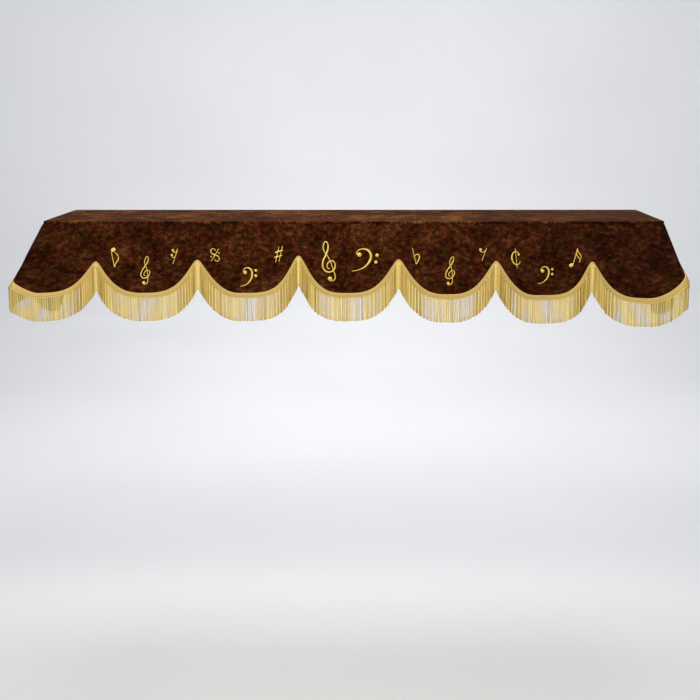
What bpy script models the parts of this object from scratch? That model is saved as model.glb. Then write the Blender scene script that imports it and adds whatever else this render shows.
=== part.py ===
"""Fitted cover for the top of an upright piano: a flat velvet top panel, four hanging skirts that
kick out at the corners, and one length of bullion fringe along a scalloped hem on three sides.

Metres, +Z up. The origin is the middle of the top panel's underside, where the piano's lid lies.
+X runs along the keyboard to the right and the front faces -Y.

A place on the skirts is given by (edge, drop): edge is the distance along the lid's rim, which is
0 at the middle of the front and grows to the right, round the right side, the back and the left
side. Drop is the depth below the lid's upper face.
"""

import collections
import math

import bmesh
import bpy
import numpy as np

# Sizes of the lid that the cover fits over.
LID_WIDTH = 1.614
LID_DEPTH = 0.370
HALF_WIDTH = LID_WIDTH / 2
HALF_DEPTH = LID_DEPTH / 2
ONCE_ROUND = 2 * (LID_WIDTH + LID_DEPTH)

# Cloth.
CLOTH = 0.002  # velvet with its pile
SEAM_GAP = 0.0003  # between two pieces that are sewn edge to edge
RIM_ROUND = 0.0015  # of the top panel's upper edge
RIM_LIFT = 0.0002  # its lower edge turns up a little over the skirts
FACE_INSET = 0.0005  # so that the flat underside ends inside the skirts
CORNER_EASE = 0.016  # each side of a corner that is rounded off
CORNER_GAP = 0.00026  # from a corner to the skirts that meet there, along the edge
LEAN = 0.03  # outward slope of the skirts between the corners
FOLD_DEPTH_AT = 0.2  # the drop at which a fold reaches its full depth
BACK_DROP = 0.182
FRONT_REACH = 0.36  # how far from a corner its kick is felt, along the front and back
SIDE_REACH = 0.16

# Fringe.
HEADER_HEIGHT = 0.0135
HEADER_THICK = 0.003
HEADER_STAND_OFF = 0.0006  # from the velvet's face
HEADER_SHARE_ON_CLOTH = 0.8  # the cloth ends behind the header
STEEPEST_HEADER = 1.8  # most that a sloping stretch may stretch the header's height
STRANDS = 288
STRAND_SHARE = 0.62  # of the pitch
STRAND_LENGTH = 0.0615
STRAND_UNEVEN = 0.0012
STRAND_MORE_AT_POINT = 0.005  # the header bunches at a scallop's point, so its strands hang lower
POINT_REACH = 0.022  # how far along the edge that is felt
STRAND_SWAY = 0.0008
FRINGE_END = 0.006  # the fringe stops this short of each back corner

# Faces: rows down a skirt, and the widest column along each.
ROWS = 5
FRONT_COLUMN = 0.028
SIDE_COLUMN = 0.012
BACK_COLUMN = 0.040
STEP = 1e-4  # for slopes worked out by differences

Corner = collections.namedtuple("Corner", "along_x along_y")
# How far each corner's hem kicks out, as a slope per metre of drop.
CORNERS = {
    "left_front": Corner(along_x=0.541, along_y=0.405),
    "right_front": Corner(along_x=0.430, along_y=0.340),
    "right_back": Corner(along_x=0.320, along_y=0.140),
    "left_back": Corner(along_x=0.340, along_y=0.150),
}

Fold = collections.namedtuple("Fold", "place half_width depth")
# Soft folds, a row for each, placed from the middle of their side.
FRONT_FOLDS = (
    Fold(place=-0.66, half_width=0.10, depth=0.006),
    Fold(place=-0.41, half_width=0.11, depth=0.004),
    Fold(place=-0.12, half_width=0.10, depth=0.007),
    Fold(place=0.17, half_width=0.12, depth=0.005),
    Fold(place=0.40, half_width=0.10, depth=0.006),
    Fold(place=0.60, half_width=0.08, depth=0.003),
)
RIGHT_FOLDS = (Fold(place=0.02, half_width=0.07, depth=0.005),)
BACK_FOLDS = (
    Fold(place=-0.35, half_width=0.12, depth=0.004),
    Fold(place=0.05, half_width=0.14, depth=0.003),
    Fold(place=0.42, half_width=0.11, depth=0.005),
)
LEFT_FOLDS = (Fold(place=-0.03, half_width=0.08, depth=0.004),)

Scallop = collections.namedtuple("Scallop", "point point_drop low low_drop full_before full_after")
# The header's upper edge, a row for each scallop from the left back corner to the right back one.
# Each starts at its left point, falls to its low and rises to the next row's point. A fuller half
# falls more steeply beside the point.
SCALLOPS = (
    Scallop(-1.287, 0.103, -1.177, 0.173, 2.6, 2.6),
    Scallop(-1.067, 0.103, -0.957, 0.183, 2.6, 2.6),
    Scallop(-0.848, 0.118, -0.750, 0.180, 1.3, 3.8),
    Scallop(-0.652, 0.102, -0.542, 0.185, 2.6, 3.0),
    Scallop(-0.405, 0.0985, -0.295, 0.1855, 2.25, 4.2),
    Scallop(-0.140, 0.0875, -0.016, 0.1855, 3.1, 3.2),
    Scallop(0.121, 0.097, 0.250, 0.1885, 2.8, 3.0),
    Scallop(0.375, 0.101, 0.482, 0.1905, 2.3, 4.3),
    Scallop(0.614, 0.102, 0.718, 0.194, 3.5, 1.8),
    Scallop(0.830, 0.1105, 0.932, 0.185, 2.6, 2.6),
    Scallop(1.037, 0.103, 1.177, 0.173, 2.6, 2.6),
)
LAST_POINT = 1.317
LAST_POINT_DROP = 0.103
POINT_ROUND = 0.09  # of a half scallop, at its point

Side = collections.namedtuple("Side", "start end before after reach folds turn")
# The four sides in walking order. Before and after are the corner kicks at their ends, as slopes
# along the side and out from it, and turn is the side's quarter turns from the front.
SIDES = (
    Side(-HALF_WIDTH - LID_DEPTH, -HALF_WIDTH,
         (CORNERS["left_back"].along_y, CORNERS["left_back"].along_x),
         (CORNERS["left_front"].along_y, CORNERS["left_front"].along_x),
         SIDE_REACH, LEFT_FOLDS, -1),
    Side(-HALF_WIDTH, HALF_WIDTH, CORNERS["left_front"], CORNERS["right_front"],
         FRONT_REACH, FRONT_FOLDS, 0),
    Side(HALF_WIDTH, HALF_WIDTH + LID_DEPTH,
         (CORNERS["right_front"].along_y, CORNERS["right_front"].along_x),
         (CORNERS["right_back"].along_y, CORNERS["right_back"].along_x),
         SIDE_REACH, RIGHT_FOLDS, 1),
    Side(HALF_WIDTH + LID_DEPTH, HALF_WIDTH + LID_DEPTH + LID_WIDTH,
         CORNERS["right_back"], CORNERS["left_back"], FRONT_REACH, BACK_FOLDS, 2),
)


def fade(distance, reach):
    return max(0.0, 1 - distance / reach) ** 2


def side_point(side, edge, drop):
    """Plan position of a place that belongs to one side, with no rounding at the corners."""
    half = (side.end - side.start) / 2
    place = edge - (side.start + side.end) / 2
    near_start = fade(half + place, side.reach)
    near_end = fade(half - place, side.reach)
    clear = (1 - near_start) * (1 - near_end)
    along = place + (side.after[0] * near_end - side.before[0] * near_start) * drop
    out = (side.before[1] * near_start + side.after[1] * near_end) * drop + LEAN * drop * clear
    for fold in side.folds:
        ridge = math.exp(-2 * ((place - fold.place) / fold.half_width) ** 2)
        out += fold.depth * ridge * (max(drop, 0) / FOLD_DEPTH_AT) ** 1.5 * clear
    stand = HALF_DEPTH if side.turn % 2 == 0 else HALF_WIDTH
    x, y = along, -stand - out
    for _ in range(side.turn % 4):
        x, y = -y, x
    return np.array((x, y))


def cloth_point(edge, drop):
    """Inner face of the cloth, with the corners rounded by a quadratic curve."""
    edge = (edge - SIDES[0].start) % ONCE_ROUND + SIDES[0].start
    number = next(n for n, side in enumerate(SIDES) if edge <= side.end)
    side = SIDES[number]
    if side.end - edge < CORNER_EASE:
        first, past = number, edge - side.end
    elif edge - side.start < CORNER_EASE:
        first, past = number - 1, edge - side.start
    else:
        return np.array((*side_point(side, edge, drop), -drop))
    second = (first + 1) % len(SIDES)
    share = (past + CORNER_EASE) / (2 * CORNER_EASE)
    start = side_point(SIDES[first], SIDES[first].end - CORNER_EASE, drop)
    tip = side_point(SIDES[first], SIDES[first].end, drop)
    end = side_point(SIDES[second], SIDES[second].start + CORNER_EASE, drop)
    plan = (1 - share) ** 2 * start + 2 * share * (1 - share) * tip + share**2 * end
    return np.array((*plan, -drop))


def off_cloth(edge, drop, distance):
    """A point this far outside the cloth's inner face, square to it."""
    along = cloth_point(edge + STEP, drop) - cloth_point(edge - STEP, drop)
    down = cloth_point(edge, drop + STEP) - cloth_point(edge, drop - STEP)
    normal = np.cross(down, along)
    return cloth_point(edge, drop) + distance * normal / np.linalg.norm(normal)


def half_scallop(share, fullness):
    """0 at a scallop's point and 1 at its low."""
    run = math.hypot(share, POINT_ROUND) - POINT_ROUND
    whole = math.hypot(1, POINT_ROUND) - POINT_ROUND
    return 1 - (1 - min(run / whole, 1)) ** fullness


def header_top(edge):
    """Drop of the header's upper edge."""
    ends = [(row.point, row.point_drop) for row in SCALLOPS[1:]] + [(LAST_POINT, LAST_POINT_DROP)]
    for row, (next_point, next_drop) in zip(SCALLOPS, ends):
        if edge <= row.low:
            share = (edge - row.point) / (row.low - row.point)
            rise = half_scallop(share, row.full_before)
            return row.point_drop + (row.low_drop - row.point_drop) * rise
        if edge <= next_point:
            share = (next_point - edge) / (next_point - row.low)
            rise = half_scallop(share, row.full_after)
            return next_drop + (row.low_drop - next_drop) * rise
    return LAST_POINT_DROP


def header_height(edge):
    """The header keeps its height square to its run, so it is taller where it slopes."""
    fall = header_top(edge + STEP) - header_top(edge - STEP)
    run = cloth_point(edge + STEP, header_top(edge)) - cloth_point(edge - STEP, header_top(edge))
    return HEADER_HEIGHT * min(math.hypot(1, fall / np.linalg.norm(run[:2])), STEEPEST_HEADER)


def at_point(edge):
    """1 at a scallop's point, fading to 0 a little way along the edge."""
    points = [row.point for row in SCALLOPS] + [LAST_POINT]
    nearest = min(abs(edge - point) for point in points)
    return math.exp(-((nearest / POINT_REACH) ** 2))


def scalloped_hem(edge):
    return header_top(edge) + HEADER_SHARE_ON_CLOTH * header_height(edge)


def straight_hem(_edge):
    return BACK_DROP


def corner_columns(side):
    """Columns that follow the rounding at both ends of a side, just short of the seams."""
    steps = [CORNER_GAP] + [CORNER_EASE * share for share in (0.2, 0.4, 0.6, 0.8, 1.0)]
    near = [side.start + step for step in steps]
    far = [side.end - step for step in reversed(steps)]
    return near, far


def filled(columns, widest):
    """The same columns, with more where two stand wider apart than this."""
    full = [columns[0]]
    for column in columns[1:]:
        steps = math.ceil((column - full[-1]) / widest)
        full += list(np.linspace(full[-1], column, steps + 1)[1:])
    return full


def scalloped_columns(side, widest):
    """Columns crowded towards the scallops' points."""
    near, far = corner_columns(side)
    turns = [turn for row in SCALLOPS for turn in (row.point, row.low)] + [LAST_POINT]
    columns = []
    for number, (first, second) in enumerate(zip(turns, turns[1:])):
        from_point = number % 2 == 0
        for share in (0.0, 0.07, 0.15, 0.25, 0.38, 0.55, 0.77, 1.0):
            part = share if from_point else 1 - share
            columns.append(round(first + (second - first) * part, 6))
    inside = [c for c in sorted(set(columns)) if near[-1] + 0.004 < c < far[0] - 0.004]
    return filled(near + inside + far, widest)


def plain_columns(side, widest):
    near, far = corner_columns(side)
    return filled(near + far, widest)


def material(name, colour, roughness, metallic=0.0):
    made = bpy.data.materials.new(name)
    made.use_nodes = True
    shader = made.node_tree.nodes["Principled BSDF"]
    shader.inputs["Base Color"].default_value = (*colour, 1)
    shader.inputs["Roughness"].default_value = roughness
    shader.inputs["Metallic"].default_value = metallic
    made.diffuse_color = (*colour, 1)
    return made


def add_object(name, mesh_data, finish):
    bmesh.ops.recalc_face_normals(mesh_data, faces=mesh_data.faces)
    mesh = bpy.data.meshes.new(name)
    mesh_data.to_mesh(mesh)
    mesh_data.free()
    mesh.materials.append(finish)
    mesh.shade_smooth()
    mesh.set_sharp_from_angle(angle=math.radians(40))
    bpy.context.collection.objects.link(bpy.data.objects.new(name, mesh))


def join_rings(mesh_data, rings):
    """Quads between each ring of vertices and the next, all the way round."""
    for first, second in zip(rings, rings[1:]):
        for a, b in zip(range(len(first)), range(1, len(first) + 1)):
            b %= len(first)
            mesh_data.faces.new((first[a], first[b], second[b], second[a]))


def add_skirt(name, columns, hem, finish):
    """A hanging panel: each column runs down its inner face and up its outer one."""
    mesh_data = bmesh.new()
    rings = []
    for edge in columns:
        drops = np.linspace(SEAM_GAP, hem(edge), ROWS + 1)
        inner = [mesh_data.verts.new(cloth_point(edge, drop)) for drop in drops]
        outer = [mesh_data.verts.new(off_cloth(edge, drop, CLOTH)) for drop in drops]
        outer[0].co.z = inner[0].co.z  # cut level, to meet the flat top panel
        rings.append(inner + outer[::-1])
    join_rings(mesh_data, rings)
    for ring in (rings[0], rings[-1]):
        for row in range(ROWS):
            mesh_data.faces.new((ring[row], ring[row + 1], ring[-2 - row], ring[-1 - row]))
    add_object(name, mesh_data, finish)


def add_top_panel(finish):
    """A flat sheet with a softly rounded upper edge, sewn to the skirts that hang from its rim."""
    mesh_data = bmesh.new()
    edges = []
    for side in SIDES:
        near, far = corner_columns(side)
        edges += [side.start] + near[1:] + far[:-1]
    profile = (
        (-FACE_INSET, 0.0), (CLOTH, RIM_LIFT), (CLOTH, CLOTH - RIM_ROUND),
        (CLOTH - 0.3 * RIM_ROUND, CLOTH - 0.3 * RIM_ROUND), (CLOTH - RIM_ROUND, CLOTH),
    )
    rings = []
    for out, height in profile:
        level = [off_cloth(edge, 0.0, out) for edge in edges]
        rings.append([mesh_data.verts.new((point[0], point[1], height)) for point in level])
    join_rings(mesh_data, rings)
    mesh_data.faces.new(rings[0])
    mesh_data.faces.new(rings[-1])
    add_object("top_panel", mesh_data, finish)


def fringe_stations():
    """Edge places of every strand's two sides, spaced evenly in plan along the hem."""
    first = SIDES[0].start + FRINGE_END
    last = SIDES[2].end - FRINGE_END
    edges = np.linspace(first, last, 3001)
    path = np.array([off_cloth(edge, header_top(edge), CLOTH)[:2] for edge in edges])
    run = np.concatenate(((0,), np.cumsum(np.linalg.norm(np.diff(path, axis=0), axis=1))))
    pitch = run[-1] / (STRANDS - 1 + STRAND_SHARE)
    starts = pitch * np.arange(STRANDS)
    places = np.ravel(np.column_stack((starts, starts + STRAND_SHARE * pitch)))
    return np.interp(places, run, edges)


def add_fringe(finish):
    """One header strip with the strands drawn down out of its lower edge."""
    mesh_data = bmesh.new()
    near = CLOTH + HEADER_STAND_OFF
    far = near + HEADER_THICK
    stations = fringe_stations()
    rings = []
    for edge in stations:
        top = header_top(edge)
        foot = top + header_height(edge)
        corners = ((top, near), (foot, near), (foot, far), (top, far))
        rings.append([mesh_data.verts.new(off_cloth(edge, drop, out)) for drop, out in corners])
    roots = []
    for number, (first, second) in enumerate(zip(rings, rings[1:])):
        for a, b in ((0, 1), (1, 2), (2, 3), (3, 0)):
            face = mesh_data.faces.new((first[a], first[b], second[b], second[a]))
            if (a, b) == (1, 2) and number % 2 == 0:
                roots.append(face)
    mesh_data.faces.new(rings[0])
    mesh_data.faces.new(rings[-1])
    drawn = bmesh.ops.extrude_discrete_faces(mesh_data, faces=roots)["faces"]
    for number, tip in enumerate(drawn):
        edge = (stations[2 * number] + stations[2 * number + 1]) / 2
        length = STRAND_LENGTH + STRAND_MORE_AT_POINT * at_point(edge)
        length += STRAND_UNEVEN * math.sin(2.3 * number) * math.cos(0.7 * number)
        sway = STRAND_SWAY * math.sin(1.9 * number + 0.4)
        end = -header_top(edge) - header_height(edge) - length
        for vert in tip.verts:
            vert.co.x += sway
            vert.co.z = end
    add_object("fringe", mesh_data, finish)


def main():
    for thing in list(bpy.data.objects):
        bpy.data.objects.remove(thing)
    top_velvet = material("velvet_top", (0.110, 0.047, 0.018), 0.8)
    velvet = material("velvet_brown", (0.055, 0.016, 0.005), 0.85)
    bullion = material("bullion_gold", (0.600, 0.400, 0.130), 0.45, metallic=0.3)
    left, front, right, back = SIDES
    add_top_panel(top_velvet)
    add_skirt("skirt_front", scalloped_columns(front, FRONT_COLUMN), scalloped_hem, velvet)
    add_skirt("skirt_right", scalloped_columns(right, SIDE_COLUMN), scalloped_hem, velvet)
    add_skirt("skirt_back", plain_columns(back, BACK_COLUMN), straight_hem, velvet)
    add_skirt("skirt_left", scalloped_columns(left, SIDE_COLUMN), scalloped_hem, velvet)
    add_fringe(bullion)


main()
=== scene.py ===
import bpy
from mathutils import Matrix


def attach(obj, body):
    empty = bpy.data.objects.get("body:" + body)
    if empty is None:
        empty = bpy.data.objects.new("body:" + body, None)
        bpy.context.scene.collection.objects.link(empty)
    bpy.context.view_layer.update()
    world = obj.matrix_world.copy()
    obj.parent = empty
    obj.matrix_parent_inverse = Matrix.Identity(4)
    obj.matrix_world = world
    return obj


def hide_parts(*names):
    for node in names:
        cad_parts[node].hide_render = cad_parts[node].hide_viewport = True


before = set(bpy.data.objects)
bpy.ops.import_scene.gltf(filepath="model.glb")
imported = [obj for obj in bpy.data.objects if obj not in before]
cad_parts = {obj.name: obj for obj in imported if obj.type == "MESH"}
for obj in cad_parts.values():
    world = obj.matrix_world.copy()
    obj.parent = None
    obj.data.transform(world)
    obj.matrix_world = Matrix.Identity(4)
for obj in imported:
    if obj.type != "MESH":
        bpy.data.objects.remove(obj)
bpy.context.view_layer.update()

import math

import bpy
import numpy as np
from mathutils import Matrix, Vector

# Fitted velvet cover for the top of an upright piano, with embroidered music signs and a bullion
# fringe. Metres, +Z up, the front faces -Y, and the lid's upper face is at z = 0.
# A place on the skirts is (edge, drop): edge runs round the lid's rim, 0 at the middle of the
# front and growing to the right, and drop is the depth below the lid.

lid = {
    "halfWidth": 0.807,
    "halfDepth": 0.185,
    "cornerEase": 0.016,  # each side of a corner that is rounded off
}
hang = {
    "lean": 0.03,  # outward slope of the skirts between the corners
    "foldFullAt": 0.2,  # drop at which a fold reaches its full depth
    "backDrop": 0.182,
    "frontReach": 0.36,  # how far from a corner its kick is felt
    "sideReach": 0.16,
}
# How far each corner's hem kicks out, as slopes per metre of drop: along x, along y.
kicks = {
    "leftFront": (0.541, 0.405),
    "rightFront": (0.430, 0.340),
    "rightBack": (0.320, 0.140),
    "leftBack": (0.340, 0.150),
}
# Soft folds: place from the middle of the side, half width, depth.
folds = {
    "front": (
        (-0.66, 0.10, 0.006), (-0.41, 0.11, 0.004), (-0.12, 0.10, 0.007),
        (0.17, 0.12, 0.005), (0.40, 0.10, 0.006), (0.60, 0.08, 0.003),
    ),
    "right": ((0.02, 0.07, 0.005),),
    "back": ((-0.35, 0.12, 0.004), (0.05, 0.14, 0.003), (0.42, 0.11, 0.005)),
    "left": ((-0.03, 0.08, 0.004),),
}
# Upper edge of the fringe's header, from the left back corner to the right back one:
# point, its drop, low, its drop, fullness before the low, fullness after it.
scallops = (
    (-1.287, 0.103, -1.177, 0.173, 2.6, 2.6),
    (-1.067, 0.103, -0.957, 0.183, 2.6, 2.6),
    (-0.848, 0.118, -0.750, 0.180, 1.3, 3.8),
    (-0.652, 0.102, -0.542, 0.185, 2.6, 3.0),
    (-0.405, 0.0985, -0.295, 0.1855, 2.25, 4.2),
    (-0.140, 0.0875, -0.016, 0.1855, 3.1, 3.2),
    (0.121, 0.097, 0.250, 0.1885, 2.8, 3.0),
    (0.375, 0.101, 0.482, 0.1905, 2.3, 4.3),
    (0.614, 0.102, 0.718, 0.194, 3.5, 1.8),
    (0.830, 0.1105, 0.932, 0.185, 2.6, 2.6),
    (1.037, 0.103, 1.177, 0.173, 2.6, 2.6),
)
lastPoint = (1.317, 0.103)
pointRound = 0.09  # how blunt a point is, against half a scallop
header = {
    "height": 0.0135,
    "steepest": 1.8,  # most that a slope stretches its height
    "shareOnCloth": 0.8,  # the cloth ends behind it
    "step": 0.003,  # between columns of faces
    "middleOut": 0.003,  # off the cloth, where its length is measured
    "endGap": 0.006,  # from each back corner
    "pointReach": 0.022,  # how far from a point the fringe bunches
    # across the braid: share of its height, distance from the cloth's inner face
    "profile": (
        (1.00, 0.0022), (0.00, 0.0022), (-0.02, 0.0034), (0.03, 0.0046), (0.10, 0.0051),
        (0.17, 0.0047), (0.22, 0.0040), (0.30, 0.0042), (0.50, 0.0046), (0.70, 0.0042),
        (0.76, 0.0039), (0.81, 0.0044), (0.88, 0.0050), (0.95, 0.0046), (1.00, 0.0036),
    ),
}
smallStep = 1e-4  # for measuring slopes


def fade(distance, reach):
    return max(0.0, 1 - distance / reach) ** 2


def swap(kick):
    return (kick[1], kick[0])


def makeSides():
    # start, end, kick before, kick after, reach, folds, quarter turns from the front
    w, d = lid["halfWidth"], 2 * lid["halfDepth"]
    return (
        (-w - d, -w, swap(kicks["leftBack"]), swap(kicks["leftFront"]), hang["sideReach"],
         folds["left"], -1),
        (-w, w, kicks["leftFront"], kicks["rightFront"], hang["frontReach"], folds["front"], 0),
        (w, w + d, swap(kicks["rightFront"]), swap(kicks["rightBack"]), hang["sideReach"],
         folds["right"], 1),
        (w + d, 3 * w + d, kicks["rightBack"], kicks["leftBack"], hang["frontReach"],
         folds["back"], 2),
    )


sides = makeSides()
onceRound = sides[3][1] - sides[0][0]


def sidePoint(side, edge, drop):
    start, end, before, after, reach, sideFolds, turn = side
    half = (end - start) / 2
    place = edge - (start + end) / 2
    nearStart = fade(half + place, reach)
    nearEnd = fade(half - place, reach)
    clear = (1 - nearStart) * (1 - nearEnd)
    along = place + (after[0] * nearEnd - before[0] * nearStart) * drop
    out = (before[1] * nearStart + after[1] * nearEnd) * drop + hang["lean"] * drop * clear
    for foldPlace, halfWidth, depth in sideFolds:
        ridge = math.exp(-2 * ((place - foldPlace) / halfWidth) ** 2)
        out += depth * ridge * (max(drop, 0) / hang["foldFullAt"]) ** 1.5 * clear
    stand = lid["halfDepth"] if turn % 2 == 0 else lid["halfWidth"]
    x, y = along, -stand - out
    for _ in range(turn % 4):
        x, y = -y, x
    return np.array((x, y))


def clothPoint(edge, drop):
    # inner face of the cloth, with the corners rounded by a quadratic curve
    edge = (edge - sides[0][0]) % onceRound + sides[0][0]
    number = next(n for n, side in enumerate(sides) if edge <= side[1])
    start, end = sides[number][:2]
    ease = lid["cornerEase"]
    if end - edge < ease:
        first, past = number, edge - end
    elif edge - start < ease:
        first, past = number - 1, edge - start
    else:
        return np.array((*sidePoint(sides[number], edge, drop), -drop))
    second = (first + 1) % len(sides)
    share = (past + ease) / (2 * ease)
    a = sidePoint(sides[first], sides[first][1] - ease, drop)
    tip = sidePoint(sides[first], sides[first][1], drop)
    b = sidePoint(sides[second], sides[second][0] + ease, drop)
    plan = (1 - share) ** 2 * a + 2 * share * (1 - share) * tip + share**2 * b
    return np.array((*plan, -drop))


def outward(edge, drop):
    along = clothPoint(edge + smallStep, drop) - clothPoint(edge - smallStep, drop)
    down = clothPoint(edge, drop + smallStep) - clothPoint(edge, drop - smallStep)
    normal = np.cross(down, along)
    return normal / np.linalg.norm(normal)


def offCloth(edge, drop, distance):
    return clothPoint(edge, drop) + distance * outward(edge, drop)


def halfScallop(share, fullness):
    run = math.hypot(share, pointRound) - pointRound
    whole = math.hypot(1, pointRound) - pointRound
    return 1 - (1 - min(run / whole, 1)) ** fullness


def headerTop(edge):
    nexts = [row[:2] for row in scallops[1:]] + [lastPoint]
    for row, (nextPoint, nextDrop) in zip(scallops, nexts):
        point, pointDrop, low, lowDrop, before, after = row
        if edge <= low:
            rise = halfScallop((edge - point) / (low - point), before)
            return pointDrop + (lowDrop - pointDrop) * rise
        if edge <= nextPoint:
            rise = halfScallop((nextPoint - edge) / (nextPoint - low), after)
            return nextDrop + (lowDrop - nextDrop) * rise
    return lastPoint[1]


def headerHeight(edge):
    fall = headerTop(edge + smallStep) - headerTop(edge - smallStep)
    drop = headerTop(edge)
    run = clothPoint(edge + smallStep, drop) - clothPoint(edge - smallStep, drop)
    slope = math.hypot(1, fall / np.linalg.norm(run[:2]))
    return header["height"] * min(slope, header["steepest"])


def atPoint(edge):
    # 1 at a scallop's point, fading to 0 a little way along the edge
    points = [row[0] for row in scallops] + [lastPoint[0]]
    nearest = min(abs(edge - point) for point in points)
    return math.exp(-((nearest / header["pointReach"]) ** 2))


def scallopedHem(edge):
    return headerTop(edge) + header["shareOnCloth"] * headerHeight(edge)


def straightHem(_edge):
    return hang["backDrop"]


# Camera: a long lens in front of the cover and a little above it.
cameraView = {
    "lens": 65.83,
    "place": (0.058, -3.515, 0.300),
    "tilt": math.radians(90 - 10.859),
    "turn": math.radians(1.111),
    "roll": math.radians(-0.10),
}
bpy.ops.object.select_all(action="DESELECT")
bpy.ops.object.camera_add(location=cameraView["place"])
camera = bpy.context.object
camera.name = "viewCamera"
camera.data.lens = cameraView["lens"]
turning = (
    Matrix.Rotation(cameraView["turn"], 3, "Z")
    @ Matrix.Rotation(cameraView["tilt"], 3, "X")
    @ Matrix.Rotation(cameraView["roll"], 3, "Z")
)
camera.rotation_euler = turning.to_euler()
bpy.context.scene.camera = camera
print("camera set")


def toLinear(hexColour):
    parts = [int(hexColour[n:n + 2], 16) / 255 for n in (1, 3, 5)]
    return [p / 12.92 if p <= 0.04045 else ((p + 0.055) / 1.055) ** 2.4 for p in parts] + [1.0]


def setSockets(tree, node, sockets):
    # each socket takes a number, a colour or another node's output
    for socket, value in sockets.items():
        if isinstance(value, bpy.types.NodeSocket):
            tree.links.new(value, node.inputs[socket])
        else:
            node.inputs[socket].default_value = value


def addNode(tree, kind, sockets, stops=(), **settings):
    # stops are the places and colours, or shares, of a colour ramp
    node = tree.nodes.new("ShaderNode" + kind)
    for name, value in settings.items():
        setattr(node, name, value)
    setSockets(tree, node, sockets)
    while stops and len(node.color_ramp.elements) < len(stops):
        node.color_ramp.elements.new(0.5)
    for number, (place, colour) in enumerate(stops):
        element = node.color_ramp.elements[number]
        element.position = place
        element.color = toLinear(colour) if isinstance(colour, str) else (colour,) * 3 + (1.0,)
    return node


def newMaterial(name, viewColour):
    made = bpy.data.materials.new(name)
    made.use_nodes = True
    made.diffuse_color = toLinear(viewColour)
    return made, made.node_tree, made.node_tree.nodes["Principled BSDF"]


# Polyester velvet, woven and then crushed wet: the pile lies flat in patches of 5 to 20 mm that
# face every way, so that the eye sees a mottle of near black, brown and rust. The lid's cloth is
# drawn lighter, in wider streaks of olive and pink: partly that mottle, partly painted sheen for
# pile seen at a low angle.
velvetLooks = {
    "hanging": {
        "patch": (0.014, 0.011),  # metres along and across one crushed patch
        "grain": 0.0044,  # clumps of pile inside a patch
        "grainShare": 0.5,
        "fibre": 0.0013,  # drawn coarser than real pile, which is too fine to show
        "relief": 0.0010,
        "sheen": 0.03,
        "tones": ((0.28, "#1b0a03"), (0.41, "#321806"), (0.52, "#422410"), (0.63, "#53321c"),
                  (0.76, "#704a36")),
        "tints": ((0.36, "#e8b4c4"), (0.45, "#ecc4a8"), (0.55, "#ecdcb8"), (0.66, "#e0e8ac")),
        # painted shade: brightness from place to place along the cloth, darker towards both ends as
        # the light falls off: edge, share
        "paintedFalloff": ((-0.80, 0.54), (-0.71, 0.83), (-0.40, 0.92), (-0.10, 1.0), (0.30, 0.89),
                (0.60, 0.70), (0.80, 0.58)),
    },
    "lying": {
        "patch": (0.050, 0.030),
        "grain": 0.0095,
        "grainShare": 0.85,
        "fibre": 0.0016,
        "relief": 0.0026,
        "sheen": 0.16,
        # painted sheen: lighter tones than the hanging cloth's, for the lid seen at a low angle
        "tones": ((0.29, "#1c0b03"), (0.42, "#341908"), (0.53, "#4d2c14"), (0.64, "#684829"),
                  (0.77, "#8c7048")),
        "tints": ((0.38, "#e6b4a0"), (0.62, "#dacc9a")),
        # painted shade: brightness from place to place along the lid, darker towards the right end:
        # edge, share
        "paintedFalloff": ((-0.80, 0.90), (-0.45, 0.91), (-0.10, 0.98), (0.30, 0.87), (0.60, 0.64),
                (0.80, 0.58)),
    },
}
crush = {
    "wander": 0.35,  # how far the patches are bent, against their depth
    "hueScale": 0.45,  # hues, and then broad light and dark, change more slowly than the patches
    "driftScale": 0.16,
    "driftShare": 0.55,
    "pileShare": 0.25,
    "sheenTint": "#a86a2c",
}


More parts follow.
